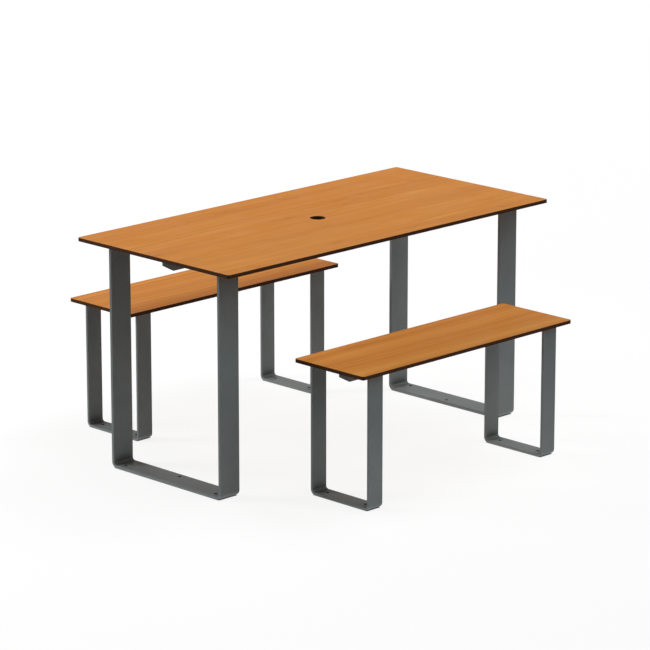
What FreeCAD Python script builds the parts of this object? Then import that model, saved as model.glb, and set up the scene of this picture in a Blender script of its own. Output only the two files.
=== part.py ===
import FreeCAD, Part
import math
import os
from collections import namedtuple

# A canteen table with two loose benches.  The boards are compact laminate.  Each frame has two
# hoops of flat bar, bent at the foot and closed by a top bar, and a T-shaped rail that joins them
# under the board.
# Millimetres, +Z up, +X along the table.  The origin is on the floor under the table's middle.

# ---- table ----
TABLE_LENGTH = 1436.0
TABLE_WIDTH = 686.0
TABLE_HEIGHT = 740.0
TABLE_BOARD_THICK = 12.0
TABLE_END_OVERHANG = 48.0        # end of the board to the outer edge of the hoop
TABLE_HOOP_WIDTH = 500.0         # outside, across the table
TABLE_BAR_WIDTH = 80.0
TABLE_BAR_THICK = 10.0
TABLE_BEND_RADIUS = 10.0         # inside of the bend
TABLE_RAIL_DEPTH = 50.0          # below the board
TABLE_STEM_THICK = 8.0
TABLE_FLANGE_WIDTH = 50.0
TABLE_HOOP_SCREW_COUNT = 4       # along the top bar of one hoop
TABLE_RAIL_PAIR_COUNT = 3        # pairs of screws along one half of the rail
TABLE_FOOT_HOLE_MARGIN = 44.0    # outside of the hoop to an outer hole of its foot
TABLE_FOOT_HOLE_EDGE = 20.0      # hole centre to the nearer edge of the bar

# ---- parasol opening ----
PARASOL_HOLE_DIAMETER = 50.0     # in the board, and the bore of the collar
COLLAR_WALL = 5.0

# ---- bench ----
BENCH_LENGTH = 946.0
BENCH_WIDTH = 295.0
BENCH_HEIGHT = 440.0
BENCH_BOARD_THICK = 12.0
BENCH_END_OVERHANG = 48.0
BENCH_HOOP_WIDTH = 250.0
BENCH_BAR_WIDTH = 60.0
BENCH_BAR_THICK = 8.0
BENCH_BEND_RADIUS = 10.0
BENCH_RAIL_DEPTH = 50.0
BENCH_STEM_THICK = 6.0
BENCH_FLANGE_WIDTH = 45.0
BENCH_HOOP_SCREW_COUNT = 2
BENCH_RAIL_PAIR_COUNT = 4
BENCH_FOOT_HOLE_MARGIN = 42.5
BENCH_GAP = 30.0                 # edge of the table to the edge of a bench, seen from above

# ---- shared by the table and the benches ----
BOARD_CORNER_RADIUS = 8.0
BOARD_EDGE_RADIUS = 0.8
BAR_EDGE_RADIUS = 0.5
RAIL_EDGE_RADIUS = 0.8
RAIL_END_DEPTH = 28.0            # below the board, where the rail starts
RAIL_SLOPE_LENGTH = 41.0         # from there to the full depth
FOOT_HOLE_DIAMETER = 11.0

# ---- M6 fixings between the frames and the boards ----
SCREW_DIAMETER = 6.0
SCREW_TIP_CHAMFER = 0.8
SCREW_TIP_ROOM = 0.6             # end of the screw to the end of its insert
SCREW_HEAD_DIAMETER = 10.5
SCREW_HEAD_HEIGHT = 3.3
SCREW_HEAD_RIM = 0.8             # straight part of the head, before the dome
SCREW_HEAD_FLAT = 6.0            # flat end of the dome
SCREW_DOME_RADIUS = 5.0
SCREW_HEX_ACROSS = 4.0
SCREW_HEX_DEPTH = 2.1
SCREW_HOLE_PLAY = 0.5            # radial, in the bars
WASHER_DIAMETER = 12.0
WASHER_BORE = 6.4
WASHER_THICK = 1.6
INSERT_DIAMETER = 9.5
INSERT_COVER = 3.0               # board left above an insert
INSERT_PLAY = 0.05               # radial, between an insert's bore and its screw
SCREW_END_MARGIN = 50.0          # end of a flange to its first pair of screws
SCREW_BAR_MARGIN = 38.0          # end of a top bar to its first screw

# The table or one bench.  centre_y is its middle line, seen from above.
Unit = namedtuple(
    "Unit",
    "centre_y length width height board_thick overhang hoop_width bar_width bar_thick"
    " bend_radius rail_depth stem_thick flange_width hoop_screws rail_pairs",
)

TABLE = Unit(
    centre_y=0.0,
    length=TABLE_LENGTH,
    width=TABLE_WIDTH,
    height=TABLE_HEIGHT,
    board_thick=TABLE_BOARD_THICK,
    overhang=TABLE_END_OVERHANG,
    hoop_width=TABLE_HOOP_WIDTH,
    bar_width=TABLE_BAR_WIDTH,
    bar_thick=TABLE_BAR_THICK,
    bend_radius=TABLE_BEND_RADIUS,
    rail_depth=TABLE_RAIL_DEPTH,
    stem_thick=TABLE_STEM_THICK,
    flange_width=TABLE_FLANGE_WIDTH,
    hoop_screws=TABLE_HOOP_SCREW_COUNT,
    rail_pairs=TABLE_RAIL_PAIR_COUNT,
)


def bench_unit(side):
    """The bench on one side of the table: side is -1 in front and 1 behind."""
    return Unit(
        centre_y=side * (TABLE_WIDTH / 2 + BENCH_GAP + BENCH_WIDTH / 2),
        length=BENCH_LENGTH,
        width=BENCH_WIDTH,
        height=BENCH_HEIGHT,
        board_thick=BENCH_BOARD_THICK,
        overhang=BENCH_END_OVERHANG,
        hoop_width=BENCH_HOOP_WIDTH,
        bar_width=BENCH_BAR_WIDTH,
        bar_thick=BENCH_BAR_THICK,
        bend_radius=BENCH_BEND_RADIUS,
        rail_depth=BENCH_RAIL_DEPTH,
        stem_thick=BENCH_STEM_THICK,
        flange_width=BENCH_FLANGE_WIDTH,
        hoop_screws=BENCH_HOOP_SCREW_COUNT,
        rail_pairs=BENCH_RAIL_PAIR_COUNT,
    )


# ---------------------------------------------------------------- places

def board_underside(unit):
    return unit.height - unit.board_thick


def bar_underside(unit):
    """Lower face of the top bars and of the rail's flange, which are level."""
    return board_underside(unit) - unit.bar_thick


def hoop_outer_x(unit):
    return unit.length / 2 - unit.overhang


def hoop_inner_x(unit):
    return hoop_outer_x(unit) - unit.bar_width


def hoop_span(unit, side):
    """The two edges of a hoop and its top bar, along X: side is -1 left and 1 right."""
    return sorted((side * hoop_inner_x(unit), side * hoop_outer_x(unit)))


def top_bar_reach(unit):
    """From the middle line to an end of a top bar, which fits between the legs."""
    return unit.hoop_width / 2 - unit.bar_thick


def spread(first, last, count):
    """Evenly spaced places from first to last, with both ends."""
    if count == 1:
        return [(first + last) / 2]
    return [first + (last - first) * i / (count - 1) for i in range(count)]


def hoop_screw_places(unit):
    """Where screws go up through both top bars."""
    reach = top_bar_reach(unit) - SCREW_BAR_MARGIN
    middle_x = hoop_outer_x(unit) - unit.bar_width / 2
    ys = [unit.centre_y + y for y in spread(-reach, reach, unit.hoop_screws)]
    return [(x, y) for x in (-middle_x, middle_x) for y in ys]


def rail_screw_places(unit, first_x, last_x):
    """Where screws go up through a flange, in pairs on both sides of the stem."""
    off_centre = (unit.stem_thick / 2 + unit.flange_width / 2) / 2
    ys = [unit.centre_y - off_centre, unit.centre_y + off_centre]
    return [(x, y) for x in spread(first_x, last_x, unit.rail_pairs) for y in ys]


def collar_diameter():
    return PARASOL_HOLE_DIAMETER + 2 * COLLAR_WALL


def table_rail_screw_places(side):
    """Screws in one half of the table's rail: side is -1 on the left and 1 on the right."""
    first_x = hoop_inner_x(TABLE) - SCREW_END_MARGIN
    last_x = collar_diameter() / 2 + SCREW_END_MARGIN
    return rail_screw_places(TABLE, side * first_x, side * last_x)


def bench_rail_screw_places(unit):
    first_x = hoop_inner_x(unit) - SCREW_END_MARGIN
    return rail_screw_places(unit, -first_x, first_x)


# ---------------------------------------------------------------- basic shapes

def vec(x, y, z):
    return FreeCAD.Vector(x, y, z)


def box_between(x0, x1, y0, y1, z0, z1):
    return Part.makeBox(x1 - x0, y1 - y0, z1 - z0, vec(x0, y0, z0))


def cylinder(x, y, z0, z1, diameter):
    return Part.makeCylinder(diameter / 2, z1 - z0, vec(x, y, z0))


def tube(x, y, z0, z1, diameter, bore):
    return cylinder(x, y, z0, z1, diameter).cut(cylinder(x, y, z0, z1, bore))


def moved(shape, x, y, z):
    copy = shape.copy()
    copy.translate(vec(x, y, z))
    return copy


def drill(shape, places, z0, z1, diameter):
    """Cut the same upright hole at each place."""
    holes = [cylinder(x, y, z0, z1, diameter) for x, y in places]
    return shape.cut(holes)


def edges_where(shape, test):
    """The edges whose ends and middle all pass the test."""
    def passes(edge):
        points = [vertex.Point for vertex in edge.Vertexes]
        points.append(edge.valueAt((edge.FirstParameter + edge.LastParameter) / 2))
        return all(test(point) for point in points)
    return [edge for edge in shape.Edges if passes(edge)]


def near(a, b):
    return abs(a - b) < 1e-6


def cradle(x0, x1, centre_y, half_y, z0, z1, radius):
    """A block along X whose two lower corners are round."""
    block = box_between(x0, x1, centre_y - half_y, centre_y + half_y, z0, z1)
    lower = edges_where(block, lambda p: near(abs(p.y - centre_y), half_y) and near(p.z, z0))
    return block.makeFillet(radius, lower)


# ---------------------------------------------------------------- boards

def board(unit, fixing_places, through_hole=None):
    """A laminate board with round corners, eased edges and pockets for its inserts."""
    half_x, half_y = unit.length / 2, unit.width / 2
    z0, z1 = board_underside(unit), unit.height
    y = unit.centre_y
    slab = box_between(-half_x, half_x, y - half_y, y + half_y, z0, z1)
    corners = edges_where(slab, lambda p: near(abs(p.x), half_x) and near(abs(p.y - y), half_y))
    slab = slab.makeFillet(BOARD_CORNER_RADIUS, corners)
    if through_hole:
        slab = slab.cut(cylinder(0, y, z0, z1, through_hole))
    rims = edges_where(slab, lambda p: near(p.z, z0)) + edges_where(slab, lambda p: near(p.z, z1))
    slab = slab.makeFillet(BOARD_EDGE_RADIUS, rims)
    return drill(slab, fixing_places, z0, z1 - INSERT_COVER, INSERT_DIAMETER)


# ---------------------------------------------------------------- frames

def hoop(unit, side, foot_holes):
    """Flat bar bent into two legs and the foot between them, standing across the table."""
    x0, x1 = hoop_span(unit, side)
    half_y, top = unit.hoop_width / 2, board_underside(unit)
    thick = unit.bar_thick
    outer = cradle(x0, x1, unit.centre_y, half_y, 0, top, unit.bend_radius + thick)
    inner = cradle(x0, x1, unit.centre_y, half_y - thick, thick, top, unit.bend_radius)
    bent = outer.cut(inner)
    rims = edges_where(bent, lambda p: near(p.x, x0)) + edges_where(bent, lambda p: near(p.x, x1))
    bent = bent.makeFillet(BAR_EDGE_RADIUS, rims)
    return drill(bent, foot_holes, 0, thick, FOOT_HOLE_DIAMETER)


def top_bar(unit, side):
    """Flat bar that closes a hoop between its legs and carries the board."""
    x0, x1 = hoop_span(unit, side)
    z0, z1 = bar_underside(unit), board_underside(unit)
    reach = top_bar_reach(unit)
    bar = box_between(x0, x1, unit.centre_y - reach, unit.centre_y + reach, z0, z1)
    along_y = edges_where(bar, lambda p: near(p.x, x0) and (near(p.z, z0) or near(p.z, z1)))
    along_y += edges_where(bar, lambda p: near(p.x, x1) and (near(p.z, z0) or near(p.z, z1)))
    bar = bar.makeFillet(BAR_EDGE_RADIUS, along_y)
    screws = [place for place in hoop_screw_places(unit) if x0 < place[0] < x1]
    return drill(bar, screws, z0, z1, SCREW_DIAMETER + 2 * SCREW_HOLE_PLAY)


def table_foot_holes(side):
    """Two holes near the outer edge of the bar and one near its inner edge."""
    outer_x = side * (hoop_outer_x(TABLE) - TABLE_FOOT_HOLE_EDGE)
    inner_x = side * (hoop_inner_x(TABLE) + TABLE_FOOT_HOLE_EDGE)
    half = TABLE_HOOP_WIDTH / 2 - TABLE_FOOT_HOLE_MARGIN
    return [(outer_x, -half), (inner_x, 0), (outer_x, half)]


def bench_foot_holes(unit, side):
    """Two holes on the middle line of the bar."""
    x = side * (hoop_outer_x(unit) - unit.bar_width / 2)
    half = unit.hoop_width / 2 - BENCH_FOOT_HOLE_MARGIN
    return [(x, unit.centre_y - half), (x, unit.centre_y + half)]


def rail(unit, screw_places):
    """A T-shaped rail.  Its flange fills the space between the top bars, and its stem runs on
    below them and ends in a slope, flush with the outer edges of the hoops."""
    end_x, slope_x = hoop_outer_x(unit), hoop_outer_x(unit) - RAIL_SLOPE_LENGTH
    top, bottom = bar_underside(unit), board_underside(unit) - unit.rail_depth
    shoulder = board_underside(unit) - RAIL_END_DEPTH
    y0 = unit.centre_y - unit.stem_thick / 2
    outline = [
        vec(-end_x, y0, top),
        vec(-end_x, y0, shoulder),
        vec(-slope_x, y0, bottom),
        vec(slope_x, y0, bottom),
        vec(end_x, y0, shoulder),
        vec(end_x, y0, top),
        vec(-end_x, y0, top),
    ]
    stem = Part.Face(Part.makePolygon(outline)).extrude(vec(0, unit.stem_thick, 0))
    lower_edges = edges_where(stem, lambda p: p.z < shoulder or near(p.z, shoulder))
    stem = stem.makeFillet(RAIL_EDGE_RADIUS, lower_edges)
    half_x, half_y = hoop_inner_x(unit), unit.flange_width / 2
    flange = box_between(
        -half_x, half_x, unit.centre_y - half_y, unit.centre_y + half_y, top, board_underside(unit)
    )
    long_edges = edges_where(
        flange, lambda p: near(p.z, top) and near(abs(p.y - unit.centre_y), half_y)
    )
    flange = flange.makeFillet(RAIL_EDGE_RADIUS, long_edges)
    whole = stem.fuse(flange).removeSplitter()
    hole = SCREW_DIAMETER + 2 * SCREW_HOLE_PLAY
    return drill(whole, screw_places, top, board_underside(unit), hole)


def table_rail_halves():
    """The table's rail, parted in the middle and coped to the parasol collar."""
    left_places, right_places = table_rail_screw_places(-1), table_rail_screw_places(1)
    whole = rail(TABLE, left_places + right_places)
    z0, z1 = board_underside(TABLE) - TABLE_RAIL_DEPTH, board_underside(TABLE)
    whole = whole.cut(cylinder(0, 0, z0, z1, collar_diameter()))
    reach, wide = hoop_outer_x(TABLE), TABLE_FLANGE_WIDTH
    left = whole.common(box_between(-reach, 0, -wide, wide, z0, z1))
    right = whole.common(box_between(0, reach, -wide, wide, z0, z1))
    return left, right


def parasol_collar():
    """A short tube that guides a parasol pole below the hole in the table top."""
    z0, z1 = board_underside(TABLE) - TABLE_RAIL_DEPTH, board_underside(TABLE)
    collar = tube(0, 0, z0, z1, collar_diameter(), PARASOL_HOLE_DIAMETER)
    lower_rims = edges_where(collar, lambda p: near(p.z, z0))
    return collar.makeFillet(RAIL_EDGE_RADIUS, lower_rims)


# ---------------------------------------------------------------- fixings

def insert_length(unit):
    return unit.board_thick - INSERT_COVER


def hexagon(across, z, height):
    """An upright hexagonal prism on the axis, given across its flats."""
    corner_r = across / math.sqrt(3)
    turns = [i * math.pi / 3 for i in range(7)]
    corners = [vec(corner_r * math.cos(a), corner_r * math.sin(a), z) for a in turns]
    return Part.Face(Part.makePolygon(corners)).extrude(vec(0, 0, height))


def screw(length):
    """A button-head screw with its head down.  The seat of the head is at z = 0."""
    head_r, flat_r = SCREW_HEAD_DIAMETER / 2, SCREW_HEAD_FLAT / 2
    shank_r = SCREW_DIAMETER / 2
    dome_start = vec(flat_r, 0, -SCREW_HEAD_HEIGHT)
    dome_end = vec(head_r, 0, -SCREW_HEAD_RIM)
    half_chord = (dome_end - dome_start) / 2
    bulge = SCREW_DOME_RADIUS - math.sqrt(SCREW_DOME_RADIUS ** 2 - half_chord.Length ** 2)
    outward = half_chord.cross(vec(0, -1, 0)).normalize()
    dome = Part.Arc(dome_start, dome_start + half_chord + outward * bulge, dome_end)
    rest = Part.makePolygon([
        dome_end,
        vec(head_r, 0, 0),
        vec(shank_r, 0, 0),
        vec(shank_r, 0, length - SCREW_TIP_CHAMFER),
        vec(shank_r - SCREW_TIP_CHAMFER, 0, length),
        vec(0, 0, length),
        vec(0, 0, -SCREW_HEAD_HEIGHT),
        dome_start,
    ])
    half_section = Part.Face(Part.Wire([dome.toShape()] + rest.Edges))
    body = half_section.revolve(vec(0, 0, 0), vec(0, 0, 1), 360)
    return body.cut(hexagon(SCREW_HEX_ACROSS, -SCREW_HEAD_HEIGHT, SCREW_HEX_DEPTH))


def fixings(unit, places):
    """Inserts, washers and screws at all places of one unit, as three groups of solids."""
    board_z, bar_z = board_underside(unit), bar_underside(unit)
    length = insert_length(unit)
    insert = tube(0, 0, 0, length, INSERT_DIAMETER, SCREW_DIAMETER + 2 * INSERT_PLAY)
    washer = tube(0, 0, 0, WASHER_THICK, WASHER_DIAMETER, WASHER_BORE)
    one_screw = screw(WASHER_THICK + unit.bar_thick + length - SCREW_TIP_ROOM)
    inserts = Part.Compound([moved(insert, x, y, board_z) for x, y in places])
    washers = Part.Compound([moved(washer, x, y, bar_z - WASHER_THICK) for x, y in places])
    screws = Part.Compound([moved(one_screw, x, y, bar_z - WASHER_THICK) for x, y in places])
    return inserts, washers, screws


# ---------------------------------------------------------------- table and benches

def table_parts():
    places = hoop_screw_places(TABLE) + table_rail_screw_places(-1) + table_rail_screw_places(1)
    left_rail, right_rail = table_rail_halves()
    inserts, washers, screws = fixings(TABLE, places)
    return {
        "table_top": board(TABLE, places, through_hole=PARASOL_HOLE_DIAMETER),
        "table_hoop_left": hoop(TABLE, -1, table_foot_holes(-1)),
        "table_hoop_right": hoop(TABLE, 1, table_foot_holes(1)),
        "table_top_bar_left": top_bar(TABLE, -1),
        "table_top_bar_right": top_bar(TABLE, 1),
        "table_rail_left": left_rail,
        "table_rail_right": right_rail,
        "parasol_collar": parasol_collar(),
        "table_inserts": inserts,
        "table_washers": washers,
        "table_screws": screws,
    }


def bench_parts(name, side):
    unit = bench_unit(side)
    rail_places = bench_rail_screw_places(unit)
    places = hoop_screw_places(unit) + rail_places
    inserts, washers, screws = fixings(unit, places)
    return {
        name + "_seat": board(unit, places),
        name + "_hoop_left": hoop(unit, -1, bench_foot_holes(unit, -1)),
        name + "_hoop_right": hoop(unit, 1, bench_foot_holes(unit, 1)),
        name + "_top_bar_left": top_bar(unit, -1),
        name + "_top_bar_right": top_bar(unit, 1),
        name + "_rail": rail(unit, rail_places),
        name + "_inserts": inserts,
        name + "_washers": washers,
        name + "_screws": screws,
    }


def main():
    os.makedirs("parts", exist_ok=True)
    parts = table_parts()
    parts.update(bench_parts("front_bench", -1))
    parts.update(bench_parts("back_bench", 1))
    for node, shape in parts.items():
        shape.exportStep("parts/" + node + ".step")


main()
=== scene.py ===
import bmesh
import bpy
import math
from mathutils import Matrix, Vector


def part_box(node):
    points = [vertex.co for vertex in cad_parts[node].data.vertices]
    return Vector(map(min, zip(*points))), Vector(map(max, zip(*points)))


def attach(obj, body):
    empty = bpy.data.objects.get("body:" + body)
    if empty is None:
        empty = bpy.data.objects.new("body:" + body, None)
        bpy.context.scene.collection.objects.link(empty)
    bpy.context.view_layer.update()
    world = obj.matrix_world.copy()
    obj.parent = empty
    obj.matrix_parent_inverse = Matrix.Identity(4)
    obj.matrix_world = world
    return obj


# A canteen table with two loose benches, in a plain pale studio.  Metres, +Z up, in the part's own
# frame: +X along the table, the front bench at -Y, the origin on the floor under the table's middle.

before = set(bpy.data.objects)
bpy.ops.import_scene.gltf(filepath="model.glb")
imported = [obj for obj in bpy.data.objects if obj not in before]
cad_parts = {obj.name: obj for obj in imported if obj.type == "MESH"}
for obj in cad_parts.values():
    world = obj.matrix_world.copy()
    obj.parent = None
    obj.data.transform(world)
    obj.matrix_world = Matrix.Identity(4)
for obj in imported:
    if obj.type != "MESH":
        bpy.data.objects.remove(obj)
bpy.context.view_layer.update()

UNITS = ("table", "front_bench", "back_bench")
STEM_THICK = {"table": 0.008, "front_bench": 0.006, "back_bench": 0.006}
FLANGE_WIDTH = {"table": 0.050, "front_bench": 0.045, "back_bench": 0.045}

# ---- camera ----
CAMERA_AIM = Vector((0.0163, -0.0163, 0.3857))
CAMERA_DISTANCE = 11.679
CAMERA_AZIMUTH = -45.0           # degrees; 0 stands at -Y and 90 at +X
CAMERA_ELEVATION = 15.0
CAMERA_LENS = 201.08             # mm, on a square sensor
CAMERA_SENSOR = 36.0             # mm

# ---- light ----
SKY_STRENGTH = 1.72              # the brightest part of what the surroundings give to matt surfaces
SKY_AZIMUTH, SKY_ELEVATION = 45.0, 50.0
SKY_FOCUS = 4.0                  # how fast it falls off around that
LIGHT_AIM = Vector((0.0, 0.0, 0.4))
LIGHT_DISTANCE = 5.0
LIGHT_SIZE = 2.0
LIGHTS = (                       # name, azimuth, elevation, power in watts
    ("left_light", -135.0, 20.0, 142.0),
    ("back_light", 180.0, 20.0, 71.0),
    ("right_light", 80.0, 60.0, 71.0),
)

# ---- floor ----
FLOOR_RADIUS = 60.0
FLOOR_SIDES = 96
FLOOR_DROP = 0.0004              # keeps it clear of the undersides that stand on it
GIVEN_LEVEL = 0.95               # how much light it gives back to the object, near it
GIVEN_LEVEL_FAR = 0.10
GIVEN_RANGE = (1.0, 2.0)         # distances between which that changes
SEEN_LEVEL = 0.16                # how grey it is to the camera and in reflections
GLOW = 0.85                      # what makes it white there, near the object
GLOW_FAR = 0.94
GLOW_RANGE = (2.5, 7.5)          # distances between which that changes
CONTACT_SHADOW_REACH = 0.006            # the glow fades this close to what stands on the floor, a painted contact shadow
CONTACT_SHADOW_RANGE = (0.3, 0.7)       # open share between which it fades
SOLE_GLOW = 0.7                  # light from the floor to what is closest to it
SOLE_REACH = 0.03

# ---- noise ----
MOST_NOISE = (0.3, 0.7)          # ranges that hold most, more and nearly all of its values
MORE_NOISE = (0.25, 0.75)
NEARLY_ALL_NOISE = (0.2, 0.8)

# ---- laminate boards ----
DECOR_THICK = 0.00025            # decor sheet on both faces; what lies deeper is the core
DECOR_DARK = (171, 99, 37)       # 8-bit display colours
DECOR_DEEP = (190, 116, 45)
DECOR_MIDDLE = (200, 127, 52)
DECOR_LIGHT = (206, 136, 60)
DECOR_PALE = (214, 149, 73)
CORE_COLOUR = (60, 37, 22)
CORE_LINE = (84, 55, 38)
LAYER_RANGE = (0.4, 0.8)         # noise that brings the core's lines up
LAYER_CLOUD_RANGE = (0.3, 0.8)
# length of the figure, bands per metre, strength of the lines, contrast
TABLE_GRAIN = (1.0, 24.0, 0.10, 1.0)
SEAT_GRAIN = (12.0, 9.0, 0.19, 1.6)
BAND_TONES = (0.34, 0.66)
FIBRE_TONE = 0.09
PALE_RANGE, PALE_TONE = (0.60, 0.78), 0.26       # noise that brings a pale streak up, its strength
SMUDGE_RANGE, SMUDGE_TONE = (0.62, 0.80), 0.24
SLOW_BEND = 0.020                # metres that the grain lines leave the straight, either way
QUICK_BEND = 0.0022
BOARD_ROUGHNESS = (0.50, 0.60)
BOARD_SPECULAR = 0.05
FIBRE_HEIGHT = 0.00006

# ---- powder coat ----
COAT_COLOUR = (122, 128, 128)
COAT_SHADE = (116, 122, 122)
COAT_GRIT = 0.12                 # how much the finest speckle changes its shade
COAT_ROUGHNESS = (0.44, 0.52)
COAT_SPECULAR = 0.06
PEEL_HEIGHT = 0.00008
CORNER_SHADE_REACH = 0.045             # how far painted shade darkens the coat in its own holes and bends
CORNER_SHADE_RANGE = (0.50, 0.92)      # open share between which that changes
CORNER_SHADE_LEVEL = 0.08              # the darkest share of its colour under that painted shade

# ---- fixings ----
ZINC_DARK, ZINC_LIGHT = (176, 180, 184), (205, 208, 212)
BRASS_DARK, BRASS_LIGHT = (196, 160, 88), (222, 188, 112)
ZINC_ROUGHNESS = (0.26, 0.38)
BRASS_ROUGHNESS = (0.24, 0.36)
TURNING_HEIGHT = 0.00002

# ---- welds ----
WELD_MARGIN = 0.003              # end of a bead to the end of its joint
FILLET_LEG = 0.0042
FILLET_SHAPE = 1.5               # of its face: 1 is a quarter circle, 2 is flat
BUTT_WIDTH = 0.0070
BUTT_CROWN = 0.0011
BEAD_SUNK = 0.0004               # how far a bead reaches into the metal that it joins
BEAD_STEP = 0.0006
RIPPLE_LENGTH = 0.0026
RIPPLE_DEPTH = 0.10              # share of the bead's size
BEAD_END = 0.004                 # length over which a bead tapers at its ends
BEAD_END_SIZE = 0.2              # share of its size that is left there
ARC_POINTS = 7                   # across the face of a bead


# ---------------------------------------------------------------- node helpers

def display_colour(levels):
    """An 8-bit display colour as the linear RGBA that sockets hold."""
    def linear(level):
        share = level / 255
        return share / 12.92 if share <= 0.04045 else ((share + 0.055) / 1.055) ** 2.4
    return tuple(linear(level) for level in levels) + (1.0,)


def add(tree, kind, inputs=None, **settings):
    """Add a shader node.  Each input is a plain value, or an output socket to link."""
    made = tree.nodes.new("ShaderNode" + kind)
    for name, value in settings.items():
        setattr(made, name, value)
    for name, value in (inputs or {}).items():
        if isinstance(value, bpy.types.NodeSocket):
            tree.links.new(value, made.inputs[name])
        else:
            made.inputs[name].default_value = value
    return made


def calc(tree, operation, first, second, clamp=False):
    """One step of arithmetic on values."""
    made = add(tree, "Math", {0: first, 1: second}, operation=operation, use_clamp=clamp)
    return made.outputs[0]


def vector(tree, operation, first, second):
    """One step of arithmetic on vectors."""
    return add(tree, "VectorMath", {0: first, 1: second}, operation=operation).outputs[0]


def spread(tree, value, low, high, to_low=0.0, to_high=1.0):
    """Stretch a value's range, clamped at both ends."""
    inputs = {"Value": value, "From Min": low, "From Max": high, "To Min": to_low, "To Max": to_high}
    return add(tree, "MapRange", inputs).outputs[0]


def noise(tree, place, cycles, detail, roughness=0.5, offset=(0.0, 0.0, 0.0)):
    """Noise with its own number of cycles per metre along each axis."""
    shifted = vector(tree, "ADD", vector(tree, "MULTIPLY", place, cycles), offset)
    inputs = {"Vector": shifted, "Scale": 1.0, "Detail": detail, "Roughness": roughness}
    return add(tree, "TexNoise", inputs).outputs[0]


def ramp(tree, value, stops):
    """A colour ramp through display colours: stops are (place, colour)."""
    made = add(tree, "ValToRGB", {"Fac": value})
    made.color_ramp.interpolation = "B_SPLINE"
    elements = made.color_ramp.elements
    while len(elements) < len(stops):
        elements.new(0.5)
    for element, (place, colour) in zip(elements, stops):
        element.position = place
        element.color = display_colour(colour)
    return made.outputs[0]


def mixed(tree, share, first, second):
    """Mix two colours, each a display colour or an output socket."""
    made = add(tree, "Mix", {"Factor": share}, data_type="RGBA")
    # the node's colours are its inputs 6 and 7 and its output 2
    for socket, value in ((made.inputs[6], first), (made.inputs[7], second)):
        if isinstance(value, bpy.types.NodeSocket):
            tree.links.new(value, socket)
        else:
            socket.default_value = display_colour(value)
    return made.outputs[2]


def empty_material(name):
    """A material with a principled shader.  Returns it, its tree, the shader and the place."""
    material = bpy.data.materials.new(name)
    material.use_nodes = True
    tree = material.node_tree
    tree.nodes.clear()
    shader = add(tree, "BsdfPrincipled")
    output = add(tree, "OutputMaterial")
    tree.links.new(shader.outputs[0], output.inputs["Surface"])
    place = add(tree, "TexCoord").outputs["Object"]
    return material, tree, shader, place


def dress(tree, shader, **inputs):
    """Set or link the shader's inputs, written with underscores for spaces."""
    for name, value in inputs.items():
        socket = shader.inputs[name.replace("_", " ")]
        if isinstance(value, bpy.types.NodeSocket):
            tree.links.new(value, socket)
        else:
            socket.default_value = value


def bumped(tree, height, distance):
    return add(tree, "Bump", {"Height": height, "Distance": distance}).outputs[0]


# ---------------------------------------------------------------- laminate

def grain_place(tree, place):
    """The surface with its grain lines bent a little, as in sawn wood."""
    drift = noise(tree, place, (1.3, 4.0, 0.0), detail=2.0)
    ripple = noise(tree, place, (7.0, 26.0, 0.0), detail=1.0, offset=(4.0, 9.0, 0.0))
    bend = calc(
        tree,
        "ADD",
        spread(tree, drift, *NEARLY_ALL_NOISE, -SLOW_BEND, SLOW_BEND),
        spread(tree, ripple, *NEARLY_ALL_NOISE, -QUICK_BEND, QUICK_BEND),
    )
    aside = add(tree, "CombineXYZ", {"Y": bend}).outputs[0]
    return vector(tree, "ADD", place, aside)


def decor(tree, place, grain_values):
    """Printed wood: the colour and the height of its fibres."""
    length, band_count, lines_share, contrast = grain_values
    grain = vector(tree, "MULTIPLY", grain_place(tree, place), (1 / length, 1.0, 1.0))
    bands = noise(tree, grain, (0.7, band_count, 0.0), detail=2.0, offset=(1.0, 3.0, 0.5))
    lines = noise(tree, grain, (2.0, 95.0, 0.0), detail=3.0, offset=(7.0, 1.0, 0.5))
    fibres = noise(tree, grain, (16.0, 640.0, 0.0), detail=2.0, roughness=0.6)
    pale = noise(tree, grain, (2.4, 46.0, 0.0), detail=1.0, offset=(5.0, 12.0, 3.5))
    smudge = noise(tree, grain, (9.0, 30.0, 0.0), detail=2.0, offset=(8.0, 2.0, 6.5))
    tone = spread(tree, bands, *MORE_NOISE, *BAND_TONES)
    for value, limits, low, high in (
        (lines, MORE_NOISE, -lines_share, lines_share),
        (fibres, MORE_NOISE, -FIBRE_TONE, FIBRE_TONE),
        (pale, PALE_RANGE, 0.0, PALE_TONE),
        (smudge, SMUDGE_RANGE, 0.0, -SMUDGE_TONE),
    ):
        tone = calc(tree, "ADD", tone, spread(tree, value, *limits, low, high))
    tone = spread(tree, tone, 0.0, 1.0, 0.5 - contrast / 2, 0.5 + contrast / 2)
    stops = (
        (0.0, DECOR_DARK),
        (0.3, DECOR_DEEP),
        (0.5, DECOR_MIDDLE),
        (0.7, DECOR_LIGHT),
        (1.0, DECOR_PALE),
    )
    return ramp(tree, tone, stops), fibres


def core(tree, place):
    """Pressed brown paper, seen at the edges: fine level layers."""
    layers = noise(tree, place, (25.0, 25.0, 5200.0), detail=2.0)
    cloud = noise(tree, place, (60.0, 60.0, 300.0), detail=2.0)
    share = calc(
        tree,
        "MULTIPLY",
        spread(tree, layers, *LAYER_RANGE),
        spread(tree, cloud, *LAYER_CLOUD_RANGE),
    )
    return mixed(tree, share, CORE_COLOUR, CORE_LINE), layers


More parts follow.
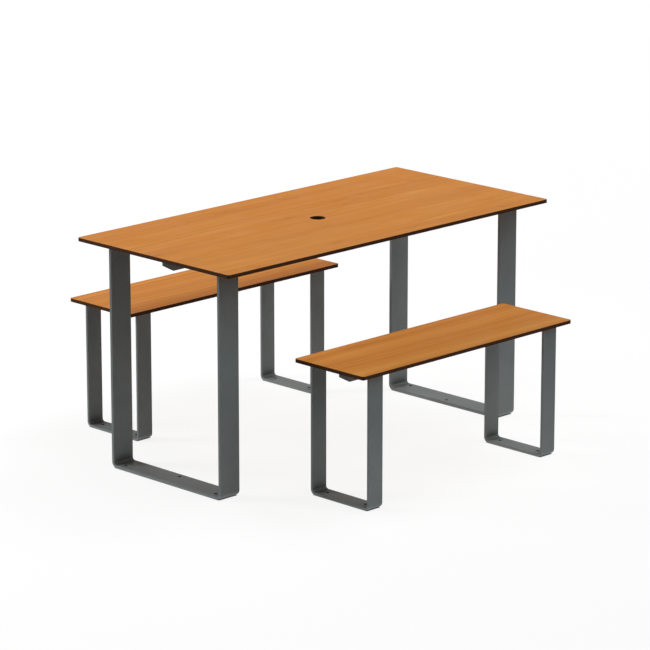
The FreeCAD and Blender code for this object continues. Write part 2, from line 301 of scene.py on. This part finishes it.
def laminate(name, low_z, high_z, grain_values):
    """Compact laminate: wood decor on both faces, dark core everywhere deeper."""
    material, tree, shader, place = empty_material(name)
    z = add(tree, "SeparateXYZ", {0: place}).outputs[2]
    above = calc(tree, "GREATER_THAN", z, high_z - DECOR_THICK)
    below = calc(tree, "LESS_THAN", z, low_z + DECOR_THICK)
    face = calc(tree, "ADD", above, below, clamp=True)
    wood, fibres = decor(tree, place, grain_values)
    brown, layers = core(tree, place)
    wiped = noise(tree, place, (9.0, 14.0, 9.0), detail=3.0)
    height = calc(
        tree,
        "ADD",
        calc(tree, "MULTIPLY", fibres, face),
        calc(tree, "MULTIPLY", layers, calc(tree, "SUBTRACT", 1.0, face)),
    )
    dress(
        tree,
        shader,
        Base_Color=mixed(tree, face, brown, wood),
        Roughness=spread(tree, wiped, *MOST_NOISE, *BOARD_ROUGHNESS),
        Specular_IOR_Level=BOARD_SPECULAR,
        Normal=bumped(tree, height, FIBRE_HEIGHT),
    )
    return material


# ---------------------------------------------------------------- metals

def powder_coat():
    """Satin powder coat with a fine orange peel, and painted shade in its own holes and bends."""
    material, tree, shader, place = empty_material("frame_coat")
    peel = noise(tree, place, (620.0, 620.0, 620.0), detail=1.0)
    cloud = noise(tree, place, (11.0, 11.0, 11.0), detail=3.0)
    grit = noise(tree, place, (2600.0, 2600.0, 2600.0), detail=0.0)
    shade = calc(tree, "ADD", cloud, spread(tree, grit, *MOST_NOISE, -COAT_GRIT, COAT_GRIT))
    coat = mixed(tree, spread(tree, shade, *MOST_NOISE), COAT_SHADE, COAT_COLOUR)
    # painted shade: the colour darkens where the coat's own part closes in around it, in holes and
    # bends
    room = add(tree, "AmbientOcclusion", {"Distance": CORNER_SHADE_REACH}, only_local=True)
    level = spread(tree, room.outputs["AO"], *CORNER_SHADE_RANGE, CORNER_SHADE_LEVEL, 1.0)
    dress(
        tree,
        shader,
        Base_Color=vector(tree, "MULTIPLY", coat, level),
        Roughness=spread(tree, cloud, *MOST_NOISE, *COAT_ROUGHNESS),
        Specular_IOR_Level=COAT_SPECULAR,
        Normal=bumped(tree, peel, PEEL_HEIGHT),
    )
    return material


def bare_metal(name, dark, light, roughness):
    """Plated or turned metal whose tone and gloss vary a little."""
    material, tree, shader, place = empty_material(name)
    cloud = noise(tree, place, (160.0, 160.0, 160.0), detail=3.0)
    turning = noise(tree, place, (300.0, 300.0, 5200.0), detail=1.0)
    dress(
        tree,
        shader,
        Base_Color=mixed(tree, spread(tree, cloud, *MOST_NOISE), dark, light),
        Metallic=1.0,
        Roughness=spread(tree, cloud, *MOST_NOISE, *roughness),
        Normal=bumped(tree, turning, TURNING_HEIGHT),
    )
    return material


def dress_nodes():
    """Give every CAD node the material of the slot that it came with.  Returns the coat."""
    table_low, table_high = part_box("table_top")
    seat_low, seat_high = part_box("front_bench_seat")
    made = {
        "table_laminate": laminate("table_laminate", table_low.z, table_high.z, TABLE_GRAIN),
        "seat_laminate": laminate("seat_laminate", seat_low.z, seat_high.z, SEAT_GRAIN),
        "frame_coat": powder_coat(),
        "screw_zinc": bare_metal("screw_zinc", ZINC_DARK, ZINC_LIGHT, ZINC_ROUGHNESS),
        "insert_brass": bare_metal("insert_brass", BRASS_DARK, BRASS_LIGHT, BRASS_ROUGHNESS),
    }
    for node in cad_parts.values():
        for slot in node.material_slots:
            slot.material = made[slot.material.name.split(".")[0]]
    return made["frame_coat"]


# ---------------------------------------------------------------- welds

def fillet_section():
    """A crowned fillet in the corner of two walls: (along the first wall, along the second)."""
    turns = [math.pi / 2 * i / (ARC_POINTS - 1) for i in range(ARC_POINTS)]
    face = [
        (FILLET_LEG * math.cos(t) ** FILLET_SHAPE, FILLET_LEG * math.sin(t) ** FILLET_SHAPE)
        for t in turns
    ]
    return [(FILLET_LEG, -BEAD_SUNK)] + face + [(-BEAD_SUNK, FILLET_LEG), (-BEAD_SUNK, -BEAD_SUNK)]


def butt_section():
    """A low crown over a flush joint: (across the joint, out of the surface)."""
    shares = [i / (ARC_POINTS - 1) - 0.5 for i in range(ARC_POINTS)]
    face = [(-BUTT_WIDTH * s, BUTT_CROWN * math.cos(math.pi * s)) for s in shares]
    half = BUTT_WIDTH / 2
    return [(half, -BEAD_SUNK)] + face + [(-half, -BEAD_SUNK)]


def bead_size(along, length):
    """Size of a bead at a place along it: ripples, and round ends."""
    ripple = 1 + RIPPLE_DEPTH * (abs(math.sin(math.pi * along / RIPPLE_LENGTH)) - 1)
    to_end = min(along, length - along, BEAD_END) / BEAD_END
    return ripple * max(BEAD_END_SIZE, math.sqrt(1 - (1 - to_end) ** 2))


def add_bead(shape, section, length, station):
    """Add one bead.  station(along) gives its root and its two directions across."""
    steps = max(2, round(length / BEAD_STEP))
    rings = []
    for i in range(steps + 1):
        along = length * i / steps
        root, first, second = station(along)
        size = bead_size(along, length)
        rings.append([shape.verts.new(root + size * (a * first + b * second)) for a, b in section])
    sides = len(section)
    for ring, following in zip(rings, rings[1:]):
        for i in range(sides):
            j = (i + 1) % sides
            face = shape.faces.new((ring[i], ring[j], following[j], following[i]))
            face.smooth = True
    shape.faces.new(reversed(rings[0]))
    shape.faces.new(rings[-1])


def straight(start, end, first, second):
    """Stations along a straight joint."""
    ahead = (end - start).normalized()
    return lambda along: (start + ahead * along, first, second)


def weld_object(name, body, beads, coat):
    """One object from beads given as (section, length, station)."""
    shape = bmesh.new()
    for section, length, station in beads:
        add_bead(shape, section, length, station)
    bmesh.ops.recalc_face_normals(shape, faces=shape.faces)
    mesh = bpy.data.meshes.new(name)
    shape.to_mesh(mesh)
    shape.free()
    mesh.materials.append(coat)
    piece = bpy.data.objects.new(name, mesh)
    bpy.context.scene.collection.objects.link(piece)
    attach(piece, body)


def frame_welds(unit, coat):
    """The joints of the top bars: fillets beside the rail's stem and inside the legs, and a
    flush bead where each end of the rail's flange meets its bar."""
    bar_low, bar_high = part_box(unit + "_top_bar_right")
    under = bar_low.z
    middle_y = (bar_low.y + bar_high.y) / 2
    half_stem, half_flange = STEM_THICK[unit] / 2, FLANGE_WIDTH[unit] / 2
    beads = []
    for end in (-1, 1):
        inner_x, outer_x = end * (bar_low.x + BUTT_WIDTH), end * (bar_high.x - WELD_MARGIN)
        joint_x = end * bar_low.x
        for side in (-1, 1):
            y = middle_y + side * half_stem
            start, stop = Vector((inner_x, y, under)), Vector((outer_x, y, under))
            station = straight(start, stop, Vector((0, side, 0)), Vector((0, 0, -1)))
            beads.append((fillet_section(), (stop - start).length, station))
            start = Vector((joint_x, middle_y + side * (half_stem + WELD_MARGIN), under))
            stop = Vector((joint_x, middle_y + side * (half_flange - WELD_MARGIN), under))
            station = straight(start, stop, Vector((1, 0, 0)), Vector((0, 0, -1)))
            beads.append((butt_section(), (stop - start).length, station))
            y = middle_y + side * (bar_high.y - middle_y)
            start = Vector((end * (bar_low.x + WELD_MARGIN), y, under))
            stop = Vector((outer_x, y, under))
            station = straight(start, stop, Vector((0, -side, 0)), Vector((0, 0, -1)))
            beads.append((fillet_section(), (stop - start).length, station))
    weld_object(unit + "_frame_welds", unit, beads, coat)


def collar_welds(coat):
    """Fillets between the parasol collar and both halves of the rail."""
    low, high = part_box("parasol_collar")
    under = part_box("table_top_bar_right")[0].z
    radius = (high.x - low.x) / 2
    half_stem, half_flange = STEM_THICK["table"] / 2, FLANGE_WIDTH["table"] / 2
    reach = math.sqrt(radius ** 2 - half_stem ** 2)
    first_turn = math.asin((half_stem + FILLET_LEG) / radius)
    last_turn = math.asin((half_flange - WELD_MARGIN) / radius)

    def arc(end, side):
        def station(along):
            turn = first_turn + along / radius
            outward = Vector((end * math.cos(turn), side * math.sin(turn), 0))
            return outward * radius + Vector((0, 0, under)), outward, Vector((0, 0, -1))
        return station

    beads = []
    for end in (-1, 1):
        for side in (-1, 1):
            x, y = end * reach, side * half_stem
            start = Vector((x, y, low.z + WELD_MARGIN))
            stop = Vector((x, y, under - FILLET_LEG))
            station = straight(start, stop, Vector((end, 0, 0)), Vector((0, side, 0)))
            beads.append((fillet_section(), (stop - start).length, station))
            beads.append((fillet_section(), radius * (last_turn - first_turn), arc(end, side)))
    weld_object("parasol_collar_welds", "table", beads, coat)


# ---------------------------------------------------------------- stage

def seen_share(tree, ray):
    """1 for rays that show a surface to the camera, directly or through gloss or glass."""
    seen = calc(tree, "ADD", ray["Is Camera Ray"], ray["Is Glossy Ray"])
    return calc(tree, "ADD", seen, ray["Is Transmission Ray"], clamp=True)


def floor():
    """A pale round floor.  It is clear from below, so that the underside can be seen."""
    turns = [2 * math.pi * i / FLOOR_SIDES for i in range(FLOOR_SIDES)]
    rim = [(FLOOR_RADIUS * math.cos(a), FLOOR_RADIUS * math.sin(a), -FLOOR_DROP) for a in turns]
    mesh = bpy.data.meshes.new("floor")
    mesh.from_pydata(rim, [], [tuple(range(FLOOR_SIDES))])
    disc = bpy.data.objects.new("floor", mesh)
    bpy.context.scene.collection.objects.link(disc)

    material = bpy.data.materials.new("floor")
    material.use_nodes = True
    tree = material.node_tree
    tree.nodes.clear()
    ray = add(tree, "LightPath").outputs
    seen = seen_share(tree, ray)
    place = add(tree, "TexCoord").outputs["Object"]
    away = add(tree, "VectorMath", {0: place}, operation="LENGTH").outputs["Value"]
    given = spread(tree, away, *GIVEN_RANGE, GIVEN_LEVEL, GIVEN_LEVEL_FAR)
    grey = spread(tree, seen, 0.0, 1.0, given, SEEN_LEVEL)
    matt = add(tree, "BsdfDiffuse", {"Color": grey})
    # painted contact shadow: the white glow fades where something stands close to the floor
    clearance = add(tree, "AmbientOcclusion", {"Distance": CONTACT_SHADOW_REACH}).outputs["AO"]
    white = spread(tree, away, *GLOW_RANGE, GLOW, GLOW_FAR)
    white = calc(tree, "MULTIPLY", white, spread(tree, clearance, *CONTACT_SHADOW_RANGE))
    close = spread(tree, ray["Ray Length"], 0.0, SOLE_REACH, SOLE_GLOW, 0.0)
    # the node's values are its inputs 2 and 3
    strength = add(tree, "Mix", {0: seen, 2: close, 3: white}).outputs[0]
    glow = add(tree, "Emission", {"Strength": strength})
    top = add(tree, "AddShader", {0: matt.outputs[0], 1: glow.outputs[0]})
    clear = add(tree, "BsdfTransparent")
    under = add(tree, "NewGeometry").outputs["Backfacing"]
    from_below = calc(tree, "MULTIPLY", under, ray["Is Camera Ray"])
    both = add(tree, "MixShader", {0: from_below, 1: top.outputs[0], 2: clear.outputs[0]})
    add(tree, "OutputMaterial", {"Surface": both.outputs[0]})
    material.cycles.emission_sampling = "NONE"
    mesh.materials.append(material)


def direction(azimuth, elevation):
    """The unit vector from the object to there."""
    turn, tilt = math.radians(azimuth), math.radians(elevation)
    return Vector((math.sin(turn) * math.cos(tilt), -math.cos(turn) * math.cos(tilt), math.sin(tilt)))


def surroundings():
    """White to the camera and in reflections, and a soft light from one side to matt surfaces."""
    world = bpy.data.worlds.new("studio")
    bpy.context.scene.world = world
    world.use_nodes = True
    tree = world.node_tree
    tree.nodes.clear()
    ray = add(tree, "LightPath").outputs
    seen = seen_share(tree, ray)
    white = (1.0, 1.0, 1.0, 1.0)
    out = add(tree, "TexCoord").outputs["Generated"]
    brightest = direction(SKY_AZIMUTH, SKY_ELEVATION)
    near = add(tree, "VectorMath", {0: out, 1: brightest}, operation="DOT_PRODUCT").outputs["Value"]
    falling = calc(tree, "POWER", calc(tree, "MAXIMUM", near, 0.0), SKY_FOCUS)
    strength = calc(tree, "MULTIPLY", falling, SKY_STRENGTH)
    soft = add(tree, "Background", {"Color": white, "Strength": strength})
    plain = add(tree, "Background", {"Color": white, "Strength": 1.0})
    both = add(tree, "MixShader", {0: seen, 1: soft.outputs[0], 2: plain.outputs[0]})
    add(tree, "OutputWorld", {"Surface": both.outputs[0]})


def stand(name, data, aim, azimuth, elevation, distance):
    """Put a lamp or a camera in the scene, looking at its aim."""
    back = direction(azimuth, elevation)
    thing = bpy.data.objects.new(name, data)
    thing.location = aim + back * distance
    thing.rotation_euler = (-back).to_track_quat("-Z", "Y").to_euler()
    bpy.context.scene.collection.objects.link(thing)
    return thing


def soft_light(name, azimuth, elevation, power):
    light = bpy.data.lights.new(name, "AREA")
    light.shape = "SQUARE"
    light.size = LIGHT_SIZE
    light.energy = power
    stand(name, light, LIGHT_AIM, azimuth, elevation, LIGHT_DISTANCE)


def camera():
    data = bpy.data.cameras.new("camera")
    data.sensor_width = CAMERA_SENSOR
    data.lens = CAMERA_LENS
    data.clip_end = 2 * FLOOR_RADIUS
    bpy.context.scene.camera = stand(
        "camera", data, CAMERA_AIM, CAMERA_AZIMUTH, CAMERA_ELEVATION, CAMERA_DISTANCE
    )


frame_coat = dress_nodes()
for unit_name in UNITS:
    frame_welds(unit_name, frame_coat)
collar_welds(frame_coat)
floor()
surroundings()
for light_values in LIGHTS:
    soft_light(*light_values)
camera()
bpy.context.scene.view_settings.view_transform = "Standard"
bpy.context.view_layer.update()
